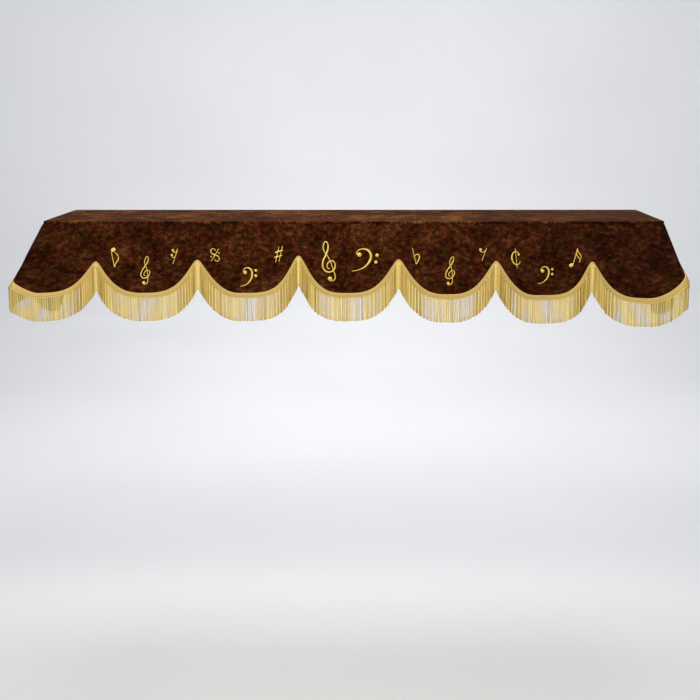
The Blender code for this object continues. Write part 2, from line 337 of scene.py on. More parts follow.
def makeVelvet(name, look):
    made, tree, shader = newMaterial(name, look["tones"][2][1])
    uv = addNode(tree, "UVMap", {}, uv_map="flatCut").outputs["UV"]
    along, across = look["patch"]
    wander = addNode(tree, "TexNoise", {
        "Vector": uv, "Scale": crush["wander"] / across, "Detail": 1.0})
    bent = addNode(tree, "VectorMath", {
        0: wander.outputs["Color"], 1: (crush["wander"] * across,) * 3, 2: uv},
        operation="MULTIPLY_ADD")
    stretched = addNode(tree, "Mapping", {
        "Vector": bent.outputs["Vector"], "Scale": (across / along, 1.0, 1.0)})
    patches = addNode(tree, "TexNoise", {
        "Vector": stretched.outputs["Vector"], "Scale": 1 / across, "Detail": 2.5,
        "Roughness": 0.65, "Distortion": 0.25})
    clumps = addNode(tree, "TexNoise", {
        "Vector": uv, "Scale": 1 / look["grain"], "Detail": 2.0, "Roughness": 0.6})
    pile = addNode(tree, "TexNoise", {"Vector": uv, "Scale": 1 / look["fibre"], "Detail": 1.0})
    hues = addNode(tree, "TexNoise", {
        "Vector": stretched.outputs["Vector"], "Scale": crush["hueScale"] / across,
        "Detail": 2.0})
    drift = addNode(tree, "TexNoise", {
        "Vector": uv, "Scale": crush["driftScale"] / across, "Detail": 2.0})
    fine = addNode(tree, "Math", {
        0: clumps.outputs["Fac"], 1: look["grainShare"], 2: patches.outputs["Fac"]},
        operation="MULTIPLY_ADD")
    mottle = addNode(tree, "Math", {
        0: drift.outputs["Fac"], 1: crush["driftShare"], 2: fine.outputs[0]},
        operation="MULTIPLY_ADD")
    centred = addNode(tree, "Math", {
        0: mottle.outputs[0], 1: (crush["driftShare"] + look["grainShare"]) / 2},
        operation="SUBTRACT")
    tones = addNode(tree, "ValToRGB", {"Fac": centred.outputs[0]}, look["tones"])
    tints = addNode(tree, "ValToRGB", {"Fac": hues.outputs["Fac"]}, look["tints"])
    tinted = addNode(tree, "Mix", {
        "Factor": 1.0, 6: tones.outputs["Color"], 7: tints.outputs["Color"]},
        data_type="RGBA", blend_type="MULTIPLY")
    # painted shade: the colour is multiplied by the falloff table along the cloth, darker towards
    # the ends
    axes = addNode(tree, "SeparateXYZ", {"Vector": uv})
    half = lid["halfWidth"]
    place = addNode(tree, "MapRange", {
        "Value": axes.outputs["X"], "From Min": -half, "From Max": half})
    paintedFalloff = addNode(tree, "ValToRGB", {"Fac": place.outputs["Result"]},
                  [((edge / half + 1) / 2, share) for edge, share in look["paintedFalloff"]])
    falloffShadedColour = addNode(tree, "Mix", {
        "Factor": 1.0, 6: tinted.outputs[2], 7: paintedFalloff.outputs["Color"]},
        data_type="RGBA", blend_type="MULTIPLY")
    relief = addNode(tree, "Math", {
        0: pile.outputs["Fac"], 1: crush["pileShare"], 2: centred.outputs[0]},
        operation="MULTIPLY_ADD")
    bump = addNode(tree, "Bump", {
        "Height": relief.outputs[0], "Strength": 0.7, "Distance": look["relief"]})
    setSockets(tree, shader, {
        "Base Color": falloffShadedColour.outputs[2], "Normal": bump.outputs["Normal"], "Roughness": 0.85,
        "Specular IOR Level": 0.04, "Sheen Weight": look["sheen"], "Sheen Roughness": 0.4,
        "Sheen Tint": toLinear(crush["sheenTint"])})
    return made


# The back of woven velvet: a flat, dull plain weave with no pile.
plainBack = {
    "threads": 300.0,
    "uneven": 0.6,
    "cloudScale": 18.0,
    "tones": ((0.25, "#2c170b"), (0.95, "#4a2c1a")),
    "relief": 0.0003,
}


def makeVelvetBack():
    made, tree, shader = newMaterial("velvetPlainBack", "#3a2113")
    uv = addNode(tree, "UVMap", {}, uv_map="flatCut").outputs["UV"]
    warps, wefts = (addNode(tree, "TexWave", {
        "Vector": uv, "Scale": plainBack["threads"], "Distortion": plainBack["uneven"],
        "Detail": 1.0}, bands_direction=way) for way in "XY")
    weave = addNode(tree, "Math", {
        0: warps.outputs["Fac"], 1: wefts.outputs["Fac"]}, operation="MULTIPLY")
    cloudy = addNode(tree, "TexNoise", {
        "Vector": uv, "Scale": plainBack["cloudScale"], "Detail": 2.0})
    both = addNode(tree, "Math", {
        0: weave.outputs[0], 1: 0.35, 2: cloudy.outputs["Fac"]}, operation="MULTIPLY_ADD")
    tones = addNode(tree, "ValToRGB", {"Fac": both.outputs[0]}, plainBack["tones"])
    bump = addNode(tree, "Bump", {
        "Height": weave.outputs[0], "Strength": 0.4, "Distance": plainBack["relief"]})
    setSockets(tree, shader, {
        "Base Color": tones.outputs["Color"], "Normal": bump.outputs["Normal"],
        "Roughness": 0.9, "Specular IOR Level": 0.2})
    return made


# Rayon and gilt thread, spun hard and left to twist back on itself: each strand reads as a row of
# small beads. The twist is also painted into the colour: painted highlight on the crowns, painted
# shade, brown, in the grooves.
bullionLook = {
    "thick": 0.0040,
    "twist": 0.0042,  # from one crown to the next along a strand
    "plies": 2,
    "toneAndShadeShare": 0.5,  # how much a strand's own tone, with its painted light and shade, counts
    # from brown painted shade in the grooves to pale painted highlight on the crowns
    "tones": ((0.0, "#765010"), (0.20, "#dcae3c"), (0.55, "#fcdc68"), (1.0, "#fff6b0")),
    "relief": 0.0006,
}


def makeBullion():
    made, tree, shader = newMaterial("giltBullionThread", "#c9a258")
    uv = addNode(tree, "UVMap", {}, uv_map="flatCut").outputs["UV"]
    axes = addNode(tree, "SeparateXYZ", {"Vector": uv})
    turns = addNode(tree, "Math", {
        0: axes.outputs["Y"], 1: math.tau / bullionLook["twist"]}, operation="MULTIPLY")
    plies = bullionLook["plies"] * math.tau / (math.pi * bullionLook["thick"])
    phase = addNode(tree, "Math", {
        0: axes.outputs["X"], 1: plies, 2: turns.outputs[0]}, operation="MULTIPLY_ADD")
    wave = addNode(tree, "Math", {0: phase.outputs[0]}, operation="SINE")
    crown = addNode(tree, "Math", {0: wave.outputs[0], 1: 0.5, 2: 0.5}, operation="MULTIPLY_ADD")
    tone = addNode(tree, "Attribute", {}, attribute_name="strandToneAndShade")
    # painted light and shade: the twist's crown wave lightens the colour on the crowns and darkens
    # it in the grooves
    lit = addNode(tree, "Math", {
        0: tone.outputs["Fac"], 1: bullionLook["toneAndShadeShare"], 2: crown.outputs[0]},
        operation="MULTIPLY_ADD")
    tones = addNode(tree, "ValToRGB", {"Fac": lit.outputs[0]}, bullionLook["tones"])
    bump = addNode(tree, "Bump", {
        "Height": crown.outputs[0], "Strength": 1.0, "Distance": bullionLook["relief"]})
    setSockets(tree, shader, {
        "Base Color": tones.outputs["Color"], "Normal": bump.outputs["Normal"],
        "Metallic": 0.18, "Roughness": 0.42})
    return made


# Woven gimp braid in gilt rayon: a smooth ribbed band between two laid cords.
braidLook = {
    "ribs": 160.0,
    "slant": 0.5,
    # from the upper edge to the lower one: a painted highlight along the upper cord and painted
    # shade at the lower edge
    "tones": ((0.0, "#d8b468"), (0.15, "#e8ce80"), (0.5, "#dcbe6a"), (0.8, "#d8b864"),
              (1.0, "#c09a44")),
    "shade": (0.72, 1.05),  # in the grooves and on the ribs
    "relief": 0.0004,
}


def makeBraid():
    made, tree, shader = newMaterial("giltGimpBraid", "#cfa964")
    uv = addNode(tree, "UVMap", {}, uv_map="flatCut").outputs["UV"]
    slant = addNode(tree, "Mapping", {"Vector": uv, "Rotation": (0, 0, braidLook["slant"])})
    ribs = addNode(tree, "TexWave", {
        "Vector": slant.outputs["Vector"], "Scale": braidLook["ribs"], "Distortion": 1.0,
        "Detail": 1.0})
    axes = addNode(tree, "SeparateXYZ", {"Vector": uv})
    # painted light: lighter along the upper cord, darker at the lower edge
    across = addNode(tree, "MapRange", {
        "Value": axes.outputs["Y"], "From Max": header["height"]})
    tones = addNode(tree, "ValToRGB", {"Fac": across.outputs["Result"]}, braidLook["tones"])
    groove, crown = braidLook["shade"]
    shade = addNode(tree, "MapRange", {
        "Value": ribs.outputs["Fac"], "To Min": groove, "To Max": crown})
    colour = addNode(tree, "Mix", {
        "Factor": 1.0, 6: tones.outputs["Color"], 7: shade.outputs["Result"]},
        data_type="RGBA", blend_type="MULTIPLY")
    bump = addNode(tree, "Bump", {
        "Height": ribs.outputs["Fac"], "Strength": 0.7, "Distance": braidLook["relief"]})
    setSockets(tree, shader, {
        "Base Color": colour.outputs[2], "Normal": bump.outputs["Normal"],
        "Metallic": 0.3, "Roughness": 0.45})
    return made


# Machine embroidery in trilobal gold rayon: close parallel threads with a silky highlight.
satinLook = {
    "threads": 320.0,
    "slant": 0.6,
    "wearScale": 260.0,
    "tones": ((0.3, "#b98a1c"), (0.6, "#ecc63c"), (0.95, "#fff08c")),
    "relief": 0.0003,
}


def makeSatinStitch():
    made, tree, shader = newMaterial("goldSatinStitch", "#d8b13c")
    place = addNode(tree, "TexCoord", {}).outputs["Object"]
    slant = addNode(tree, "Mapping", {"Vector": place, "Rotation": (0, satinLook["slant"], 0)})
    threads = addNode(tree, "TexWave", {
        "Vector": slant.outputs["Vector"], "Scale": satinLook["threads"], "Distortion": 0.4,
        "Detail": 1.0})
    wear = addNode(tree, "TexNoise", {
        "Vector": place, "Scale": satinLook["wearScale"], "Detail": 2.0})
    both = addNode(tree, "Math", {
        0: threads.outputs["Fac"], 1: 0.4, 2: wear.outputs["Fac"]}, operation="MULTIPLY_ADD")
    tones = addNode(tree, "ValToRGB", {"Fac": both.outputs[0]}, satinLook["tones"])
    bump = addNode(tree, "Bump", {
        "Height": threads.outputs["Fac"], "Strength": 0.6, "Distance": satinLook["relief"]})
    setSockets(tree, shader, {
        "Base Color": tones.outputs["Color"], "Normal": bump.outputs["Normal"],
        "Metallic": 0.35, "Roughness": 0.35})
    return made


hangingVelvet = makeVelvet("crushedVelvetHanging", velvetLooks["hanging"])
lyingVelvetSheenPainted = makeVelvet("crushedVelvetLyingSheenPainted", velvetLooks["lying"])
velvetBack = makeVelvetBack()
bullion = makeBullion()
braid = makeBraid()
satinStitch = makeSatinStitch()
print("materials made")


def startPiece(name, *finishes):
    # the primitive just added becomes a named piece with its finishes
    piece = bpy.context.object
    piece.name = name
    piece.data.name = name
    for finish in finishes:
        piece.data.materials.append(finish)
    return piece


def setFlatCut(piece, flat):
    # the UV map holds each point's place on the flat cut, in metres
    data = piece.data
    while data.uv_layers:
        data.uv_layers.remove(data.uv_layers[0])
    layer = data.uv_layers.new(name="flatCut")
    corners = np.zeros(len(data.loops), dtype=np.int32)
    data.loops.foreach_get("vertex_index", corners)
    layer.data.foreach_set("uv", np.asarray(flat, dtype=np.float32)[corners].ravel())


def moveVertices(piece, places):
    piece.data.vertices.foreach_set("co", np.asarray(places, dtype=np.float32).ravel())
    piece.data.update()


def giveThickness(piece, thick):
    solidify = piece.modifiers.new("thickness", "SOLIDIFY")
    solidify.thickness = thick
    solidify.offset = 1.0  # outwards from the inner face
    solidify.use_even_offset = True
    solidify.material_offset = 1
    solidify.material_offset_rim = 0
    bpy.ops.object.modifier_apply(modifier=solidify.name)


def smooth(piece, degrees=40):
    bpy.ops.object.select_all(action="DESELECT")
    piece.select_set(True)
    bpy.context.view_layer.objects.active = piece
    bpy.ops.object.shade_smooth_by_angle(angle=math.radians(degrees))


def gridPlaces(piece):
    # shares 0 to 1 across and down the grid that was added with size 1
    places = np.zeros(len(piece.data.vertices) * 3, dtype=np.float32)
    piece.data.vertices.foreach_get("co", places)
    places = places.reshape(-1, 3).astype(float)
    return places[:, 0] + 0.5, 0.5 - places[:, 1]


skirt = {
    "thick": 0.0018,
    "cornerLap": 0.0003,  # each skirt runs this far past the corner, so that the seam is closed
    "columnStep": 0.004,
    "rowStep": 0.0036,
    "rowsOver": 0.19,  # the drop that sets how many rows there are
    "seamDrop": 0.0034,  # where the skirt starts, under the top panel's turned edge
    "seamTuck": 0.0011,  # how far it is drawn in there
    "seamReach": 0.007,
    "pucker": 0.0004,
    "puckerRun": 0.017,
    "puckerTop": (0.012, 0.010),  # drop and reach of the gathers under the seam
    "puckerHem": (0.020, 0.012),  # the same above the hem
    "swell": 0.0014,
    "swellRun": 0.085,
    "fineSwellRun": 0.043,
    "backHem": (0.020, 0.0025, 0.0009),  # the stitched trough: height, reach, depth
}


def bell(distance, reach):
    return math.exp(-((distance / reach) ** 2))


def softNoise(edge, run, seed):
    # slow irregular wave, about -1 to 1
    a = math.tau * edge / run
    main = math.sin(a + 1.7 * math.sin(0.37 * a + seed))
    return (main + 0.6 * math.sin(0.61 * a + 2 * seed)) / 1.6


def skirtRelief(edge, drop, hemDrop, trough):
    # small shapes that the cloth has beyond its main folds
    relief = -skirt["seamTuck"] * bell(drop - skirt["seamDrop"], skirt["seamReach"])
    topDrop, topReach = skirt["puckerTop"]
    hemUp, hemReach = skirt["puckerHem"]
    gathers = bell(drop - topDrop, topReach) + bell(hemDrop - drop - hemUp, hemReach)
    relief += skirt["pucker"] * gathers * softNoise(edge, skirt["puckerRun"], 1.0)
    middle = math.sin(math.pi * min(max(drop / hemDrop, 0), 1)) ** 1.5
    relief += skirt["swell"] * middle * softNoise(edge + 0.25 * drop, skirt["swellRun"], 2.4)
    fine = softNoise(edge - 0.6 * drop, skirt["fineSwellRun"], 4.1)
    relief += 0.5 * skirt["swell"] * middle * fine
    if trough:
        up, reach, depth = skirt["backHem"]
        relief -= depth * bell(hemDrop - drop - up, reach)
    return relief


def hangSkirt(name, side, hem, trough=False):
    start, end = side[0] - skirt["cornerLap"], side[1] + skirt["cornerLap"]
    columns = round((end - start) / skirt["columnStep"])
    rows = round(skirt["rowsOver"] / skirt["rowStep"])
    bpy.ops.object.select_all(action="DESELECT")
    bpy.ops.mesh.primitive_grid_add(x_subdivisions=columns, y_subdivisions=rows, size=1)
    piece = startPiece(name, hangingVelvet, velvetBack)
    across, down = gridPlaces(piece)
    places, flat = [], []
    for a, d in zip(across, down):
        edge = start + a * (end - start)
        hemDrop = hem(edge)
        drop = skirt["seamDrop"] + (hemDrop - skirt["seamDrop"]) * d
        places.append(offCloth(edge, drop, skirtRelief(edge, drop, hemDrop, trough)))
        flat.append((edge, -drop))
    moveVertices(piece, places)
    setFlatCut(piece, flat)
    area = sum(face.area for face in piece.data.polygons)
    giveThickness(piece, skirt["thick"])
    smooth(piece)
    print(name, "hung,", len(piece.data.polygons), "faces, cloth area", round(area, 4))
    return piece


skirtLeft = hangSkirt("skirtLeft", sides[0], scallopedHem)
skirtFront = hangSkirt("skirtFront", sides[1], scallopedHem)
skirtRight = hangSkirt("skirtRight", sides[2], scallopedHem)
skirtBack = hangSkirt("skirtBack", sides[3], straightHem, trough=True)

topPanel = {
    "thick": 0.0018,
    "cell": 0.006,
    # the turned edge: distance out from the lid's rim and height of the cloth's underside
    "turnedEdge": ((0.0, 0.0), (0.0007, -0.0002), (0.0012, -0.0007), (0.0013, -0.0015),
                   (0.0010, -0.0023), (0.0003, -0.0028)),
    "swell": 0.0009,
    "swellRuns": (0.11, 0.07),  # along x, along y
    "calmEdge": 0.03,  # the swell and wrinkles fade out this near to the seams
    "wrinkleBend": (0.006, 0.05),  # sideways, over this run
    # shallow wrinkles: x, y, half length, half width, height, slant
    "wrinkles": (
        (-0.52, 0.04, 0.20, 0.016, 0.0012, 0.10), (-0.18, -0.07, 0.26, 0.014, 0.0010, -0.06),
        (0.22, 0.06, 0.24, 0.017, 0.0012, 0.05), (0.55, -0.03, 0.18, 0.013, 0.0010, -0.12),
        (0.02, 0.12, 0.30, 0.012, 0.0008, 0.02), (-0.66, -0.10, 0.10, 0.010, 0.0009, 0.30),
        (0.68, 0.10, 0.10, 0.010, 0.0009, 0.25), (0.36, -0.13, 0.16, 0.010, 0.0008, -0.04),
    ),
}


def topHeight(x, y):
    # gentle rise and fall of the laid cloth, none of it near the seams
    clear = min(lid["halfWidth"] - abs(x), lid["halfDepth"] - abs(y))
    calm = min(max(clear / topPanel["calmEdge"], 0), 1) ** 2
    runX, runY = topPanel["swellRuns"]
    bend, bendRun = topPanel["wrinkleBend"]
    waves = softNoise(x + 0.3 * y, runX, 0.7) * softNoise(y, runY, 1.9)
    height = topPanel["swell"] * (0.5 + 0.5 * waves)
    for wx, wy, halfLength, halfWidth, rise, slant in topPanel["wrinkles"]:
        along = (x - wx) * math.cos(slant) + (y - wy) * math.sin(slant)
        across = (y - wy) * math.cos(slant) - (x - wx) * math.sin(slant)
        across += bend * math.sin(along / bendRun)
        height += rise * math.exp(-((along / halfLength) ** 2) - (across / halfWidth) ** 2)
    return calm * height


def roundCorner(x, y):
    # squeezes the corners of a rectangle onto the lid's rounded outline; also the way out there
    ease = lid["cornerEase"]
    a = max(0.0, (abs(x) - lid["halfWidth"] + ease) / ease)
    b = max(0.0, (abs(y) - lid["halfDepth"] + ease) / ease)
    drawn = ease * (a * b) ** 2 / 4
    wayOut = np.array((1 - b / 2, b / 2) if a >= b else (a / 2, 1 - a / 2))
    wayOut *= (math.copysign(1, x), math.copysign(1, y))
    plan = np.array((x - math.copysign(drawn, x), y - math.copysign(drawn, y)))
    return plan, wayOut / np.linalg.norm(wayOut)


def spread(length, cell, levels):
    # grid lines along one side: even cells on the lid, and a level for each step of the turned edge
    inner = np.linspace(-length / 2, length / 2, round(length / cell) + 1)
    places = [inner[0]] * levels + list(inner) + [inner[-1]] * levels
    depth = list(range(levels, 0, -1)) + [0] * len(inner) + list(range(1, levels + 1))
    return places, depth


def layTopPanel():
    profile = topPanel["turnedEdge"]
    runs = np.cumsum([0] + [math.dist(p, q) for p, q in zip(profile, profile[1:])])
    xs, xLevels = spread(2 * lid["halfWidth"], topPanel["cell"], len(profile) - 1)
    ys, yLevels = spread(2 * lid["halfDepth"], topPanel["cell"], len(profile) - 1)
    bpy.ops.object.select_all(action="DESELECT")
    bpy.ops.mesh.primitive_grid_add(x_subdivisions=len(xs) - 1, y_subdivisions=len(ys) - 1, size=1)
    piece = startPiece("topPanel", lyingVelvetSheenPainted, velvetBack)
    across, down = gridPlaces(piece)
    places, flat = [], []
    for a, b in zip(across, down):
        i, j = round(a * (len(xs) - 1)), round((1 - b) * (len(ys) - 1))
        level = max(xLevels[i], yLevels[j])
        plan, wayOut = roundCorner(xs[i], ys[j])
        out, height = profile[level]
        if level == 0:
            height = topHeight(*plan)
        places.append((*(plan + out * wayOut), height))
        flat.append(plan + runs[level] * wayOut)
    moveVertices(piece, places)
    setFlatCut(piece, flat)
    bpy.ops.object.mode_set(mode="EDIT")
    bpy.ops.mesh.select_all(action="SELECT")
    bpy.ops.mesh.remove_doubles(threshold=1e-5)
    bpy.ops.mesh.normals_make_consistent(inside=False)
    bpy.ops.object.mode_set(mode="OBJECT")
    area = sum(face.area for face in piece.data.polygons)
    giveThickness(piece, topPanel["thick"])
    smooth(piece)
    print("topPanel laid,", len(piece.data.polygons), "faces, cloth area", round(area, 4))
    return piece


topCloth = layTopPanel()


def braidHeader():
    first, last = sides[0][0] + header["endGap"], sides[2][1] - header["endGap"]
    columns, rows = round((last - first) / header["step"]), len(header["profile"])
    edges = np.linspace(first, last, columns + 1)
    tops = [headerTop(edge) for edge in edges]
    heights = [headerHeight(edge) for edge in edges]
    out = header["middleOut"]
    line = np.array([offCloth(edge, top, out) for edge, top in zip(edges, tops)])
    run = np.concatenate(((0,), np.cumsum(np.linalg.norm(np.diff(line, axis=0), axis=1))))
    bpy.ops.object.select_all(action="DESELECT")
    bpy.ops.mesh.primitive_grid_add(x_subdivisions=columns, y_subdivisions=rows, size=1)
    piece = startPiece("fringeHeader", braid)
    across, down = gridPlaces(piece)
    places, flat = [], []
    for a, d in zip(across, down):
        i, k = round(a * columns), round(d * rows) % rows
        share, out = header["profile"][k]
        places.append(offCloth(edges[i], tops[i] + share * heights[i], out))
        flat.append((run[i], share * header["height"]))
    moveVertices(piece, places)
    setFlatCut(piece, flat)
    bpy.ops.object.mode_set(mode="EDIT")
    bpy.ops.mesh.select_all(action="SELECT")
    bpy.ops.mesh.remove_doubles(threshold=1e-6)
    bpy.ops.mesh.fill_holes(sides=0)
    bpy.ops.mesh.normals_make_consistent(inside=False)
    bpy.ops.object.mode_set(mode="OBJECT")
    smooth(piece, 60)
    print("fringeHeader braided,", round(run[-1], 3), "m long")
    return piece


headerPiece = braidHeader()

strands = {
    "pitch": 0.0056,  # along the header
    "length": 0.0615,
    "moreAtPoint": 0.001,
    "moreCrowded": 0.6,  # strands stand closer by this share at a scallop's point
    "uneven": 0.0010,
    "rootShare": 0.86,  # of the header's height, where a strand starts inside it
    "rootRise": 0.42,  # at a point the gathered strands start this much higher
    "rootOut": 0.0036,
    "crowdOut": 0.0014,  # on a slope every other strand stands out by this
    "crowdBack": -0.6,  # and the rest stand back, by this share of it
    "sway": 0.0010,
    "frontSway": 0.6,  # to the front and back, against sideways
    "wander": 0.0006,
    "sideWander": (0.4, 5),  # share of it, waves
    "frontWander": (0.3, 4),
    "lumps": (0.05, 19),  # unevenness of the thickness: share, waves
    "toneVaries": 0.22,
    "paintedLightOnSlope": 0.9,  # painted highlight: bunched strands on a slope are drawn lighter, as if their crowns turned to the light
    "shadeOther": 2.4,  # every other strand is darker there
    "shadeUpTo": 0.6,
    "shadeBeside": 1.4,  # on the sides that face the next strands
    "besideFrom": 0.4,
    "loopSwell": 1.12,  # the doubled end
    "loopFrom": 0.9,
    "spacing": 0.00025,  # unevenness of the places
    "grouping": 0.0004,  # strands gather in small groups
    "groupRuns": (0.011, 0.047),
    "samples": 4001,  # along the whole fringe
    "girthVaries": 0.08,
    "sides": 8,
    "rings": (0.0, 0.18, 0.38, 0.58, 0.78, 0.93, 0.978, 1.0),  # shares of its length
    "seed": 11,
}


def blankStrand():
    # one strand, 1 long and 1 in radius, cut across so that it can bend, with a rounded end
    bpy.ops.object.select_all(action="DESELECT")
    bpy.ops.mesh.primitive_cylinder_add(vertices=strands["sides"], radius=1, depth=1)
    piece = startPiece("blankStrand")
    bpy.ops.object.mode_set(mode="EDIT")
    bpy.ops.mesh.select_mode(type="EDGE")
    bpy.ops.mesh.select_all(action="DESELECT")
    bpy.ops.object.mode_set(mode="OBJECT")
    for edge in piece.data.edges:
        low, high = (piece.data.vertices[v].co.z for v in edge.vertices)
        edge.select = abs(high - low) > 0.5
    bpy.ops.object.mode_set(mode="EDIT")
    bpy.ops.mesh.subdivide(number_cuts=len(strands["rings"]) - 2)
    bpy.ops.object.mode_set(mode="OBJECT")
    points = np.array([vertex.co[:] for vertex in piece.data.vertices])
    even = np.linspace(0, 1, len(strands["rings"]))
    points[:, 2] = 0.5 - np.interp(0.5 - points[:, 2], even, strands["rings"])
    faces = [list(face.vertices) for face in piece.data.polygons]
    bpy.data.objects.remove(piece)
    return points, faces


def fringeStations(random):
    first, last = sides[0][0] + header["endGap"], sides[2][1] - header["endGap"]
    edges = np.linspace(first, last, strands["samples"])
    roots = [offCloth(e, headerTop(e) + headerHeight(e), strands["rootOut"]) for e in edges]
    crowd = np.array([1 + strands["moreCrowded"] * atPoint(e) for e in edges[1:]])
    steps = np.linalg.norm(np.diff(roots, axis=0), axis=1)
    run = np.concatenate(((0,), np.cumsum(crowd * steps)))
    count = round(run[-1] / strands["pitch"])
    places = (np.arange(count) + 0.5) * run[-1] / count
    places += random.normal(0, strands["spacing"], count)
    small, large = strands["groupRuns"]
    places += strands["grouping"] * np.sin(places / small) * np.sin(places / large)
    return np.interp(places, run, edges)


def waver(share, way, phase):
    part, waves = strands[way]
    return strands["wander"] * part * np.sin(waves * share + phase) * share


def wrapThread(data, angle, share, loopPlaces):
    # the UV map runs round and along each strand, in metres
    layer = data.uv_layers.new(name="flatCut")
    girth = math.pi * bullionLook["thick"]
    turn = (angle / math.tau) % 1.0
    for face in data.polygons:
        number = face.vertices[0] // len(share)
        length, phase = loopPlaces[number]
        own = [v - number * len(share) for v in face.vertices]
        wraps = max(turn[own]) - min(turn[own]) > 0.5
        for loop, v in zip(face.loop_indices, own):
            around = turn[v] + (1.0 if wraps and turn[v] < 0.5 else 0.0)
            layer.data[loop].uv = (girth * around, length * share[v] + 0.001 * phase)


def hangStrands():
    random = np.random.RandomState(strands["seed"])
    points, faces = blankStrand()
    stations = fringeStations(random)
    share = 0.5 - points[:, 2]
    tip = share > 0.999
    reach = np.where(tip, 0.5, np.where(share > strands["loopFrom"], strands["loopSwell"], 1.0))
    angle = np.arctan2(points[:, 1], points[:, 0])
    varies = strands["girthVaries"]
    lumps, lumpWaves = strands["lumps"]
    allPoints, allFaces, tones, loopPlaces = [], [], [], []
    for number, edge in enumerate(stations):
        top, height = headerTop(edge), headerHeight(edge)
        slope = height / header["height"] - 1
        crowd = 1 if number % 2 else strands["crowdBack"]
        out = strands["rootOut"] + strands["crowdOut"] * slope * crowd
        start = strands["rootShare"] - strands["rootRise"] * atPoint(edge)
        root = offCloth(edge, top + start * height, out)
        length = strands["length"] + strands["moreAtPoint"] * atPoint(edge)
        length += random.normal(0, strands["uneven"] / 2) + (1 - start) * height
        along = offCloth(edge + 0.001, top, 0) - offCloth(edge - 0.001, top, 0)
        along[2] = 0
        along /= np.linalg.norm(along)
        away = np.array((along[1], -along[0], 0))
        side, front = random.normal(0, strands["sway"] / 2, 2)
        phase, bend = random.uniform(0, math.tau, 2)
        radius = bullionLook["thick"] / 2 * random.uniform(1 - varies, 1 + varies)
        drift = side * share**2 + waver(share, "sideWander", phase)
        lean = strands["frontSway"] * front * share**2 + waver(share, "frontWander", bend)
        centre = root + drift[:, None] * along + lean[:, None] * away
        centre[:, 2] -= length * share
        lump = reach * radius * (1 + lumps * np.sin(lumpWaves * share + phase))
        centre[:, 0] += lump * np.cos(angle)
        centre[:, 1] += lump * np.sin(angle)
        allFaces += [[v + len(points) * number for v in face] for face in faces]
        allPoints.append(centre)
        besideNext = np.cos(angle - math.atan2(along[1], along[0])) ** 2
        # the tone is random, plus painted light and shade: lighter on slopes, darker on every other
        # strand there and on the sides that face the next strands
        tone = random.normal(0, strands["toneVaries"]) + strands["paintedLightOnSlope"] * slope
        tone -= strands["shadeOther"] * min(slope, strands["shadeUpTo"]) * (number % 2)
        tones.append(tone + strands["shadeBeside"] * (strands["besideFrom"] - besideNext))
        loopPlaces.append((length, phase))
    data = bpy.data.meshes.new("fringeStrands")
    data.from_pydata(np.concatenate(allPoints).tolist(), [], allFaces)
    piece = bpy.data.objects.new("fringeStrands", data)
    bpy.context.collection.objects.link(piece)
    data.materials.append(bullion)
    tone = data.attributes.new("strandToneAndShade", "FLOAT", "POINT")
    tone.data.foreach_set("value", np.concatenate(tones).astype(np.float32))
    wrapThread(data, angle, share, loopPlaces)
    smooth(piece, 50)
    print("fringeStrands hung,", len(stations), "strands")
    return piece


strandPiece = hangStrands()

